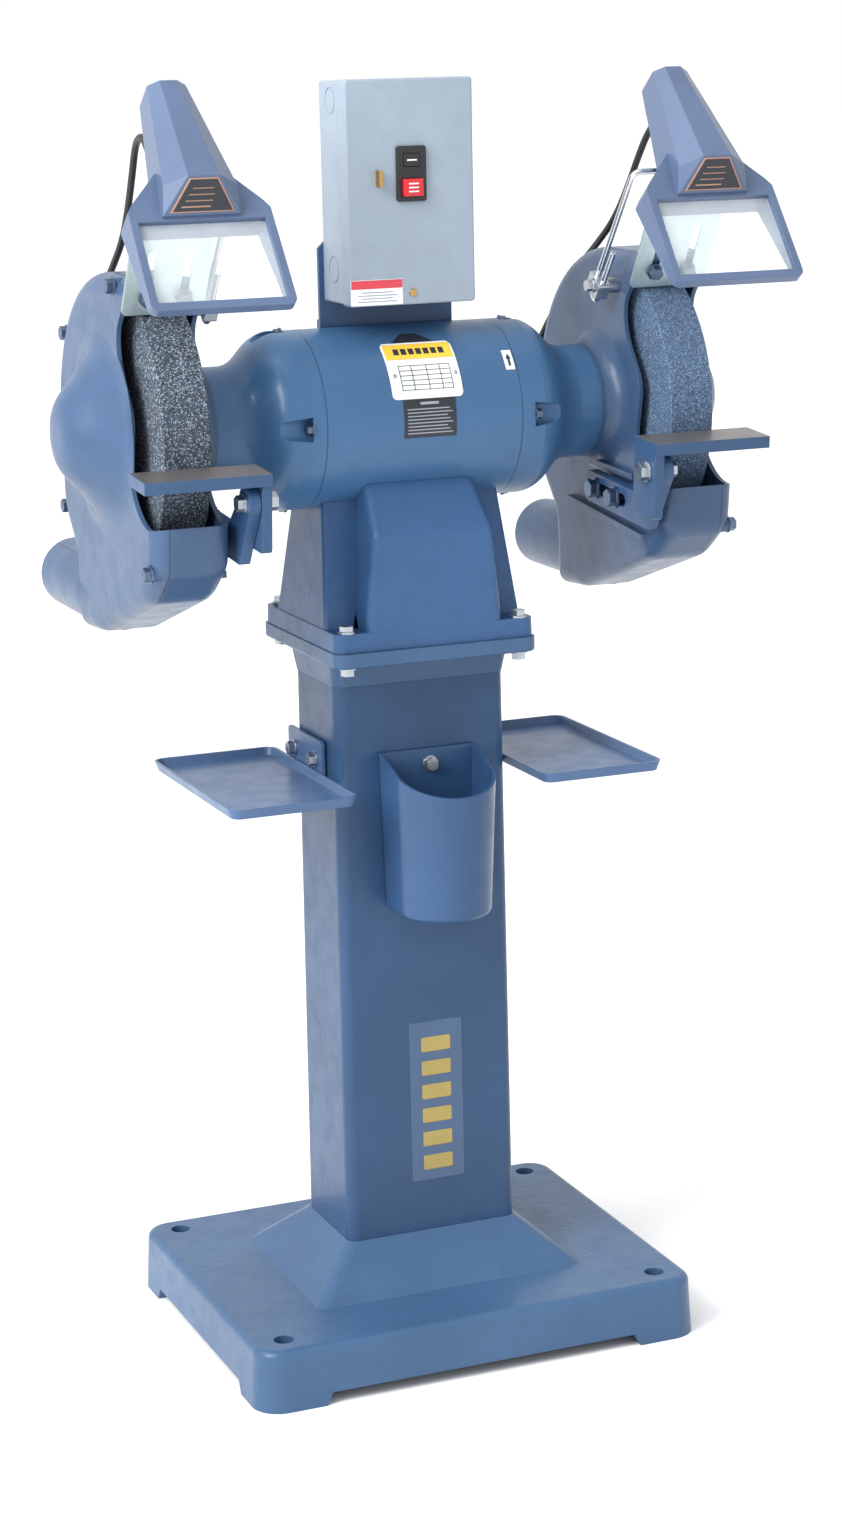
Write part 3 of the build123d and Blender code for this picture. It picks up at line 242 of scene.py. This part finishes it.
def grit(name, dark, mid, light, grain, bump, share):
    """Bonded abrasive: packed grains of several greys, with the hollows between them painted dark
    as painted shade.
    """
    g = Graph(name)
    cells = g.add("ShaderNodeTexVoronoi", feature="F1")
    cells.inputs["Scale"].default_value = 1.0 / grain
    g.link(g.coords.outputs["Object"], cells.inputs["Vector"])
    tone = g.add("ShaderNodeSeparateColor")
    g.link(cells.outputs["Color"], tone.inputs[0])
    base = g.mix(g.span(tone.outputs[0], 0.15, 0.75), mid, dark)
    bright = g.math("GREATER_THAN", tone.outputs[1], share)
    base = g.mix(g.math("MULTIPLY", bright, 0.9), base, light)
    # painted shade: the hollows between grains coloured near-black
    shaded_pits = g.math("GREATER_THAN", tone.outputs[2], 0.80)
    base = g.mix(g.math("MULTIPLY", shaded_pits, 0.85), base, shade(dark, 0.35))
    load = g.noise(16.0, 5.0, 0.6)
    base = g.mix(g.span(load, 0.45, 0.75, 0.0, 0.35), base, mid)
    height = g.math("ADD", cells.outputs["Distance"], g.math("MULTIPLY", tone.outputs[2], 0.6))
    return g.finish(base, g.span(load, 0.3, 0.7, 0.75, 0.92), g.bump(height, bump, grain))


def clear(name, colour, alpha, rough):
    """Clear moulded sheet with faint scratches and haze."""
    g = Graph(name)
    haze = g.noise(22.0, 4.0)
    scratch = g.noise(180.0, 6.0, 0.7, (0.12, 1.0, 2.5))
    base = g.mix(g.span(haze, 0.4, 0.7), colour, shade(colour, 0.93))
    g.feed(g.shader.inputs["Alpha"], g.span(haze, 0.3, 0.7, alpha - 0.04, alpha + 0.06))
    roughness = g.span(scratch, 0.55, 0.70, rough, rough + 0.18)
    return g.finish(base, roughness, g.bump(scratch, 0.02, 0.0002))


PAINT = paint("enamel", rgb(41, 71, 106))
CAST = paint("enamel_cast", rgb(58, 88, 122), cast=0.55, peel=0.10, wear_and_highlight=0.45)
SADDLE = paint("enamel_saddle", rgb(50, 84, 126), cast=0.45, peel=0.10, wear_and_highlight=0.45)
BELL_SEAM = ("X", 0.1109, 0.0007)           # axis, distance from the middle, half width
GUARD_SEAM = ("X", 0.310, 0.0006)
# lit copy of the blue enamel: the highlight on the motor painted in as a lighter colour
MOTOR_LIT_PAINT = paint("enamel_motor_lit", rgb(61, 99, 138), cast=0.12, seams=(BELL_SEAM,))
GUARD = paint("enamel_guard", rgb(57, 81, 112), cast=0.30, seams=(GUARD_SEAM,))
SHEET = paint("enamel_sheet", rgb(47, 77, 115), cast=0.08, wear_and_highlight=0.5)
# lit copy of the sheet enamel: the light on the tray rims painted in as a lighter colour
TRAY_LIT_PAINT = paint("enamel_tray_lit", rgb(70, 97, 134), cast=0.08, wear_and_highlight=0.5)
REST_TOP = (0.0, 0.0785, 0.9969)            # the way the tool rest's ground top faces
REST = paint("enamel_rest", rgb(48, 76, 110), cast=0.20, wear_and_highlight=0.6, bare=(REST_TOP, 0.985))
BOX = paint("enamel_box", rgb(143, 156, 170), rough=0.42, cast=0.05, wear_and_highlight=0.25)
SHIELD = plastic("shield_moulding", rgb(77, 95, 126), 0.38, 0.08, 0.2)
LENS = clear("lens_clear", rgb(236, 244, 247), 0.20, 0.06)
BULB = clear("bulb_frosted", rgb(250, 248, 236), 0.55, 0.30)
ZINC = metal("zinc_plating", rgb(182, 188, 196), 0.30)
BOLT = metal("bolt_steel", rgb(100, 118, 142), 0.34)
SHEET_ZINC = metal("zinc_sheet", rgb(186, 203, 206), 0.38, (1.0, 0.4, 0.4), 0.25, 0.05)
ROD = metal("bright_rod", rgb(214, 216, 220), 0.16, (1.0, 1.0, 1.0), 0.2, 0.03)
BRASS = metal("brass_plain", rgb(196, 160, 104), 0.30)
STEEL = metal("turned_steel", rgb(150, 152, 158), 0.32, (6.0, 0.4, 0.4))
LAMINATE = metal("laminations", rgb(120, 120, 124), 0.45, (30.0, 0.2, 0.2))
COPPER = metal("varnished_copper", rgb(168, 96, 56), 0.35, (1.0, 8.0, 8.0))
BLACK = plastic("black_plastic", rgb(26, 27, 30), 0.38, 0.15, 0.1)
BLACK_PRINT = plastic("black_print", rgb(34, 38, 46), 0.34, 0.05)
RED = plastic("red_plastic", rgb(196, 24, 34), 0.30, 0.08, 0.4)
RED_PRINT = plastic("red_print", rgb(206, 62, 78), 0.40, 0.04)
WHITE_PRINT = plastic("white_print", rgb(232, 236, 238), 0.40, 0.04)
YELLOW_PRINT = plastic("yellow_print", rgb(240, 198, 66), 0.36, 0.04)
GOLD_PRINT = plastic("gold_print", rgb(156, 138, 76), 0.40, 0.04)
COPPER_PRINT = plastic("copper_print", rgb(170, 128, 112), 0.36, 0.04)
PALE_PRINT = plastic("pale_print", rgb(150, 158, 170), 0.40, 0.04)
DECAL = plastic("decal_ground", rgb(50, 78, 112), 0.30, 0.04, 0.3)
CABLE = plastic("cable_rubber", rgb(30, 31, 34), 0.50, 0.20)
COARSE = grit("coarse_abrasive", rgb(40, 50, 61), rgb(70, 83, 99), rgb(142, 152, 165),
              grain=0.0012, bump=0.40, share=0.77)
FINE = grit("fine_abrasive", rgb(60, 81, 108), rgb(80, 104, 135), rgb(124, 147, 172),
            grain=0.0010, bump=0.30, share=0.80)

LOOKS = {
    "base_casting": CAST, "column": PAINT, "collar_flange": CAST, "grinder_base": SADDLE,
    "flange_bolts": ZINC, "motor_shell": MOTOR_LIT_PAINT, "end_bells": MOTOR_LIT_PAINT, "end_bell_bolts": BOLT,
    "stator_core": LAMINATE, "stator_windings": COPPER, "shaft": STEEL, "rotor_core": LAMINATE,
    "bearings": STEEL, "wheel_flanges": PAINT, "spindle_nuts": STEEL, "guard_bolts": BOLT,
    "shield_studs": ZINC, "switch_bracket": SHEET, "accessory_bolts": ZINC, "switch_box": BOX,
    "switch_cover": BOX, "button_bezel": BLACK, "start_button": BLACK, "stop_button": RED,
    "starter": BLACK, "hasp": BRASS, "cover_screw": BRASS, "nameplate": WHITE_PRINT,
    "water_pot": SHEET, "trays": TRAY_LIT_PAINT, "left_wheel": COARSE, "right_wheel": FINE,
}
for side, _ in SIDES:
    LOOKS.update({
        f"{side}_guard_body": GUARD, f"{side}_guard_cover": GUARD,
        f"{side}_spark_plate": SHEET_ZINC, f"{side}_rest_arm": SHEET,
        f"{side}_tool_rest": REST, f"{side}_rest_pivot_bolt": ZINC,
        f"{side}_shield_housing": SHIELD, f"{side}_shield_lens": LENS,
        f"{side}_lamp_socket": BLACK, f"{side}_lamp_bulb": BULB, f"{side}_shield_rod": ROD,
        f"{side}_shield_clamp": ZINC, f"{side}_lead_gland": BLACK, f"{side}_lamp_lead": CABLE,
    })


def dress(piece, material):
    """Gives a piece one material."""
    piece.data.materials.clear()
    piece.data.materials.append(material)


for node, piece in NODES.items():
    dress(piece, LOOKS[node])


# ---------------------------------------------------------------- mesh pieces
def add_piece(name, bm, material, body):
    """Turns a bmesh in the row frame into a piece that rides on a body."""
    bmesh.ops.recalc_face_normals(bm, faces=bm.faces)
    mesh = bpy.data.meshes.new(name)
    bm.to_mesh(mesh)
    bm.free()
    piece = bpy.data.objects.new(name, mesh)
    bpy.context.scene.collection.objects.link(piece)
    mesh.materials.append(material)
    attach(piece, body)
    return piece


def skin(bm, rows, close_ends=True):
    """Joins rows of points, each a closed loop, into a tube of quads."""
    loops = [[bm.verts.new(p) for p in row] for row in rows]
    count = len(loops[0])
    for first, second in zip(loops, loops[1:]):
        for i in range(count):
            j = (i + 1) % count
            bm.faces.new((first[i], first[j], second[j], second[i]))
    if close_ends:
        bm.faces.new(list(reversed(loops[0])))
        bm.faces.new(loops[-1])


def plate(bm, outline, place, thick):
    """Flat plate: outline of (u, v) points, place(u, v, n) gives the point at height n."""
    small = [(0.985 * u + 0.015 * mean_u, 0.985 * v + 0.015 * mean_v)
             for mean_u, mean_v in [(sum(p[0] for p in outline) / len(outline),
                                     sum(p[1] for p in outline) / len(outline))]
             for u, v in outline]
    rows = [[place(u, v, 0.0) for u, v in outline],
            [place(u, v, thick * 0.7) for u, v in outline],
            [place(u, v, thick) for u, v in small]]
    skin(bm, rows)


def rounded(u0, u1, v0, v1, radius, steps=5):
    """Outline of a rounded rectangle."""
    points = []
    corners = ((u1 - radius, v1 - radius, 0), (u0 + radius, v1 - radius, 90),
               (u0 + radius, v0 + radius, 180), (u1 - radius, v0 + radius, 270))
    for cu, cv, start in corners:
        for i in range(steps + 1):
            angle = math.radians(start + 90 * i / steps)
            points.append((cu + radius * math.cos(angle), cv + radius * math.sin(angle)))
    return points


def bar(u0, u1, v0, v1):
    return [(u0, v0), (u1, v0), (u1, v1), (u0, v1)]


def on_motor(radius):
    """Places (x, z, n) on the motor's front, wrapped round its cylinder."""
    def place(x, z, n):
        reach = radius + n
        height = max(-0.999, min(0.999, (z - SPINDLE_Z) / radius))
        angle = math.asin(height)
        return (x, -reach * math.cos(angle), SPINDLE_Z + reach * math.sin(angle))
    return place


def wrapped_patch(bm, x0, x1, z0, z1, radius, thick, trim=0.0, steps=12):
    """Thin curved patch on the motor; trim narrows its upper edge."""
    place = on_motor(radius)
    rows = []
    for i in range(steps + 1):
        z = z0 + (z1 - z0) * i / steps
        inset = trim * i / steps
        rows.append([place(x0 + inset, z, 0.0), place(x1 - inset, z, 0.0),
                     place(x1 - inset, z, thick), place(x0 + inset, z, thick)])
    skin(bm, rows)


def patches(name, items, radius, thick, material):
    bm = bmesh.new()
    for item in items:
        wrapped_patch(bm, *item[:4], radius, thick, *(item[4:]))
    return add_piece(name, bm, material, ROOT)


# nameplate: yellow head band, ruled table, rivets
PLATE_R = MOTOR_R + 0.0009
BAND_T = 0.0003
MARK_PITCH, MARK_W = 0.0085, 0.006
RIVET_SIDES = 14
RIVET = ((0.0022, 0.0), (0.0021, 0.0006), (0.0015, 0.0011), (0.0006, 0.0013))   # radius, height
low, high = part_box("nameplate")
x0, x1, z0, z1 = low.x, high.x, low.z, high.z
table = x0 + 0.012            # left edge of the ruled table
patches("nameplate_band", [(x0 + 0.002, x1 - 0.002, z1 - 0.0155, z1 - 0.0015)], PLATE_R,
        BAND_T, YELLOW_PRINT)
rules = []
for i in range(6):
    z = z1 - 0.022 - 0.0048 * i
    rules.append((table, x1 - 0.010, z, z + 0.0005))
for x in (table, x0 + 0.026, x0 + 0.043, x0 + 0.058, x1 - 0.0105):
    rules.append((x, x + 0.0006, z1 - 0.0465, z1 - 0.0215))
patches("nameplate_rules", rules, PLATE_R, 0.00035, BLACK_PRINT)
marks = []
for i in range(7):
    x = table + MARK_PITCH * i
    marks.append((x, x + MARK_W, z1 - 0.0110, z1 - 0.0055))
patches("nameplate_marks", marks, PLATE_R + BAND_T, PRINT, BLACK_PRINT)
place = on_motor(PLATE_R)
turn = [2 * math.pi * k / RIVET_SIDES for k in range(RIVET_SIDES)]
bm = bmesh.new()
for x in (x0 + 0.006, x1 - 0.005):
    z = z0 + 0.024
    skin(bm, [[place(x + reach * math.cos(a), z + reach * math.sin(a), height) for a in turn]
              for reach, height in RIVET])
add_piece("nameplate_rivets", bm, ZINC, ROOT)

# dark caution plate under it, tag above it, turning arrow plate beside it
CAUTION_T, TAG_T = 0.0005, 0.0006
patches("caution_plate", [(-0.025, 0.034, 1.0126, 1.0530)], MOTOR_R, CAUTION_T,
        BLACK_PRINT)
lines = []
for i in range(8):
    z = 1.0165 + 0.0036 * i
    lines.append((-0.021, 0.030 - 0.003 * (i % 3), z, z + 0.0012))
lines.append((-0.006, 0.015, 1.0468, 1.0495))
patches("caution_lines", lines, MOTOR_R + CAUTION_T, PRINT, PALE_PRINT)
patches("motor_tag", [(-0.022, 0.0275, 1.1075, 1.1155, 0.016)], MOTOR_R, TAG_T,
        BLACK_PRINT)
patches("arrow_plate", [(0.098, 0.1085, 1.0760, 1.0950)], MOTOR_R, TAG_T,
        WHITE_PRINT)
shank = (0.1020, 0.1046, 1.0800, 1.0905)
point = (0.1002, 0.1064, 1.0870, 1.0915, 0.0028)
patches("arrow_mark", [shank, point], MOTOR_R + TAG_T, PRINT, BLACK_PRINT)


# column decal and its marks
COLUMN_FOOT, COLUMN_HEAD = 0.1185, 0.7464
COLUMN_HALF, COLUMN_TAPER = 0.0666, 0.0035      # half depth at the foot, and how much it loses
LABEL_T = 0.0004                                # thickness of a decal or label


def on_column(x, z, n):
    """Column front face, leaning with its taper."""
    share = (z - COLUMN_FOOT) / (COLUMN_HEAD - COLUMN_FOOT)
    return (x, -(COLUMN_HALF - COLUMN_TAPER * share) - n, z)


def raised(place, height):
    """The same placement, from a surface that lies a little higher."""
    return lambda u, v, n: place(u, v, n + height)


bm = bmesh.new()
plate(bm, rounded(-0.024, 0.039, 0.176, 0.362, 0.003), on_column, LABEL_T)
add_piece("column_decal", bm, DECAL, ROOT)
bm = bmesh.new()
for k in range(6):
    z = 0.189 + 0.0275 * k
    plate(bm, rounded(-0.010, 0.025, z, z + 0.017, 0.002), raised(on_column, LABEL_T), 0.0003)
add_piece("column_marks", bm, GOLD_PRINT, ROOT)


# switch box label, button marks
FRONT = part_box("switch_cover")[0].y


def on_box(x, z, n):
    return (x, FRONT - n, z)


LINE_PITCH, LINE_T = 0.0031, 0.001
bm = bmesh.new()
plate(bm, rounded(-0.0700, -0.0115, 1.1500, 1.1765, 0.001), on_box, LABEL_T)
add_piece("box_label", bm, WHITE_PRINT, ROOT)
bm = bmesh.new()
plate(bm, rounded(-0.0695, -0.0120, 1.1672, 1.1760, 0.001), raised(on_box, LABEL_T), PRINT)
add_piece("box_label_band", bm, RED_PRINT, ROOT)
bm = bmesh.new()
for i in range(4):
    z = 1.1535 + LINE_PITCH * i
    plate(bm, bar(-0.062 + 0.004 * (i % 2), -0.018 - 0.005 * (i % 2), z, z + LINE_T),
          raised(on_box, LABEL_T), PRINT)
add_piece("box_label_lines", bm, PALE_PRINT, ROOT)
for button, bars in (("start_button", 1), ("stop_button", 3)):
    low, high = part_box(button)
    middle = (low + high) / 2
    bm = bmesh.new()
    for i in range(bars):
        z = middle.z + 0.004 * (i - (bars - 1) / 2)
        plate(bm, bar(middle.x - 0.0055, middle.x + 0.0055, z - 0.0008, z + 0.0008),
              lambda u, v, n: (u, low.y - n, v), 0.0003)
    add_piece(f"{button}_mark", bm, WHITE_PRINT, button)

# ---------------------------------------------------------------- shields
LEAN = math.radians(37.8)       # how far the shield leans back from upright
WEDGE_FOOT = Vector((0.0500, 0.0034))           # up the shield, out of its face
WEDGE_HEAD = Vector((0.0740, 0.0340))
BADGE_T = 0.0008
BADGE_LINES = ((0.022, 0.0016), (0.018, 0.0010), (0.015, 0.0010), (0.011, 0.0010))
UP = Vector((0.0, math.sin(LEAN), math.cos(LEAN)))
FACE = Vector((0.0, -math.cos(LEAN), math.sin(LEAN)))
ACROSS = Vector((1.0, 0.0, 0.0))


def on_wedge(centre):
    """Sloping face of the raised wedge on the shield, u across and v up it."""
    run = (WEDGE_HEAD - WEDGE_FOOT).normalized()
    out = Vector((-run.y, run.x))

    def place(u, v, n):
        spot = WEDGE_FOOT + run * v + out * n
        return centre + ACROSS * u + UP * spot.x + FACE * spot.y
    return place


def badge_outline(foot, head, bottom, top):
    """Trapezium with a half width at its foot and one at its head."""
    return [(-foot, bottom), (foot, bottom), (head, top), (-head, top)]


for side, hand in SIDES:
    body = f"{side}_eye_shield"
    centre = Vector((hand * 0.2775, -0.2385, 1.2183))
    place = on_wedge(centre)
    bm = bmesh.new()
    plate(bm, badge_outline(0.0330, 0.0148, 0.0025, 0.0365), place, BADGE_T)
    add_piece(f"{side}_shield_badge_rim", bm, COPPER_PRINT, body)
    bm = bmesh.new()
    plate(bm, badge_outline(0.0306, 0.0136, 0.0038, 0.0352), raised(place, BADGE_T), BAND_T)
    add_piece(f"{side}_shield_badge", bm, BLACK_PRINT, body)
    bm = bmesh.new()
    for i, (half, height) in enumerate(BADGE_LINES):
        v = 0.0075 + 0.0062 * i
        plate(bm, bar(-half, half * (0.35 + 0.2 * i), v, v + height),
              raised(place, BADGE_T + BAND_T), PRINT)
    add_piece(f"{side}_shield_badge_lines", bm, COPPER_PRINT, body)

# ---------------------------------------------------------------- lamp leads
KNUCKLE = Vector((0.0, -0.138, 1.280))          # where the shield's rod meets its clamp
CABLE_R = 0.0038
GLAND_X = 0.297
LEAD_POINTS = (
    (GLAND_X, *(KNUCKLE + 0.020 * UP)[1:]),
    (GLAND_X, *(KNUCKLE + 0.044 * UP)[1:]),
    (0.2945, -0.086, 1.330),
    (0.292, -0.062, 1.3305),
    (0.2895, -0.040, 1.3205),
    (0.287, -0.017, 1.290),
    (0.2855, 0.005, 1.258),
    (0.284, 0.034, 1.223),
    (0.283, 0.074, 1.195),
    (0.281, 0.126, 1.163),
    (0.268, 0.166, 1.112),
    (0.246, 0.186, 1.052),
    (0.214, 0.178, 1.010),
    (0.180, 0.160, 0.987),
    (0.154, 0.133, 0.983),
    (0.154, 0.096, 0.983),
)
NUT_LENGTH = 0.014              # hexagonal nut of the gland on the end bell
NUT = ((0.0, 0.0112), (0.006, 0.0112), (0.0066, 0.0094), (0.0138, 0.0094), (0.0140, 0.0042))


def route_curve(name, points, radius):
    """NURBS curve of order 3 through the route's control points."""
    curve = bpy.data.curves.new(name, "CURVE")
    curve.dimensions = "3D"
    curve.bevel_depth = radius
    curve.bevel_resolution = 5
    curve.resolution_u = 14
    curve.use_fill_caps = True
    spline = curve.splines.new("NURBS")
    spline.points.add(len(points) - 1)
    for point, spot in zip(spline.points, points):
        point.co = (*spot, 1.0)
    spline.order_u = 3
    spline.use_endpoint_u = True
    return curve


def curve_mesh(name, points, radius):
    """Mesh of the route's spline: a tube, or its bare line when radius is 0."""
    curve = route_curve(name, points, radius)
    holder = bpy.data.objects.new(name + "_source", curve)
    bpy.context.scene.collection.objects.link(holder)
    bpy.context.view_layer.update()
    mesh = bpy.data.meshes.new_from_object(holder)
    bpy.data.objects.remove(holder)
    bpy.data.curves.remove(curve)
    return mesh


def turned_sleeve(bm, start, along, profile, sides):
    """Sleeve with flat sides from a start point: profile of (distance, radius) pairs."""
    first = along.orthogonal().normalized()
    second = along.cross(first)
    spokes = [first * math.cos(a) + second * math.sin(a)
              for a in [2 * math.pi * k / sides for k in range(sides)]]
    skin(bm, [[start + along * distance + spoke * radius for spoke in spokes]
              for distance, radius in profile])


for side, hand in SIDES:
    points = [(hand * x, y, z) for x, y, z in LEAD_POINTS]
    tube = curve_mesh(f"{side}_lead_tube", points, CABLE_R)
    line = curve_mesh(f"{side}_lead_line", points, 0.0)
    path = [tuple(v.co) for v in line.vertices]
    bpy.data.meshes.remove(line)
    tube.materials.clear()
    tube.materials.append(CABLE)
    tube.polygons.foreach_set("use_smooth", [True] * len(tube.polygons))
    lead = bpy.data.objects.new(f"{side}_lead", tube)
    bpy.context.scene.collection.objects.link(lead)
    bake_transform(lead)
    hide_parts(f"{side}_lamp_lead")
    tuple(points[-1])
    bm = bmesh.new()
    backward = Vector((0, 1, 0))
    turned_sleeve(bm, Vector(points[-1]) - NUT_LENGTH * backward, backward, NUT, 6)
    add_piece(f"{side}_lead_gland_nut", bm, BLACK, ROOT)

# ---------------------------------------------------------------- stage
FLOOR_Z = 0.0


PALE = (0.93, 0.93, 0.93, 1.0)
graph = Graph("floor_pale")
cloud = graph.span(graph.noise(1.5, 2.0), 0.3, 0.7)
graph.finish(graph.mix(cloud, PALE, shade(PALE, 0.985)), 0.9)
bpy.ops.mesh.primitive_plane_add(size=60.0, location=(0.0, 12.0, FLOOR_Z))
floor = bpy.context.object
floor.name = "floor"
floor.data.materials.append(graph.material)

world = bpy.data.worlds.new("studio")
bpy.context.scene.world = world
world.use_nodes = True
background = next(n for n in world.node_tree.nodes if n.type == "BACKGROUND")
background.inputs["Color"].default_value = (1.0, 1.0, 1.0, 1.0)
background.inputs["Strength"].default_value = 1.0


def aim(data, place, target):
    """Adds a lamp at a place, turned towards a target."""
    lamp = bpy.data.objects.new(data.name, data)
    lamp.location = place
    lamp.rotation_euler = (Vector(target) - Vector(place)).to_track_quat("-Z", "Y").to_euler()
    bpy.context.scene.collection.objects.link(lamp)


def softbox(name, place, target, size, power):
    data = bpy.data.lights.new(name, "AREA")
    data.shape = "RECTANGLE"
    data.size, data.size_y = size
    data.energy = power
    aim(data, place, target)


sun = bpy.data.lights.new("overhead", "SUN")
sun.energy = 1.3
sun.angle = math.radians(50)
aim(sun, (-1.6, -0.5, 3.0), (0.0, 0.0, 0.9))
softbox("key", (-2.8, -1.2, 2.6), (0.0, 0.0, 0.9), (1.4, 2.2), 120.0)

# camera: position, azimuth, pitch and roll of the view, in the row frame
AZIMUTH, PITCH, ROLL = (math.radians(v) for v in (-22.145, 13.207, -1.243))
forward = Vector((-math.sin(AZIMUTH) * math.cos(PITCH), math.cos(AZIMUTH) * math.cos(PITCH),
                  -math.sin(PITCH)))
level = Vector((math.cos(AZIMUTH), math.sin(AZIMUTH), 0.0))
upward = level.cross(forward)
right = level * math.cos(ROLL) + upward * math.sin(ROLL)
upright = upward * math.cos(ROLL) - level * math.sin(ROLL)
camera_data = bpy.data.cameras.new("camera")
camera_data.lens = 73.89
camera_data.sensor_width = 36.0
camera_data.clip_end = 200.0
camera = bpy.data.objects.new("camera", camera_data)
camera.matrix_world = Matrix.Translation((-1.2581, -3.1498, 1.4310)) @ Matrix(
    (right, upright, -forward)).transposed().to_4x4()
bpy.context.scene.collection.objects.link(camera)
bpy.context.scene.camera = camera
bpy.context.scene.view_settings.view_transform = "Standard"
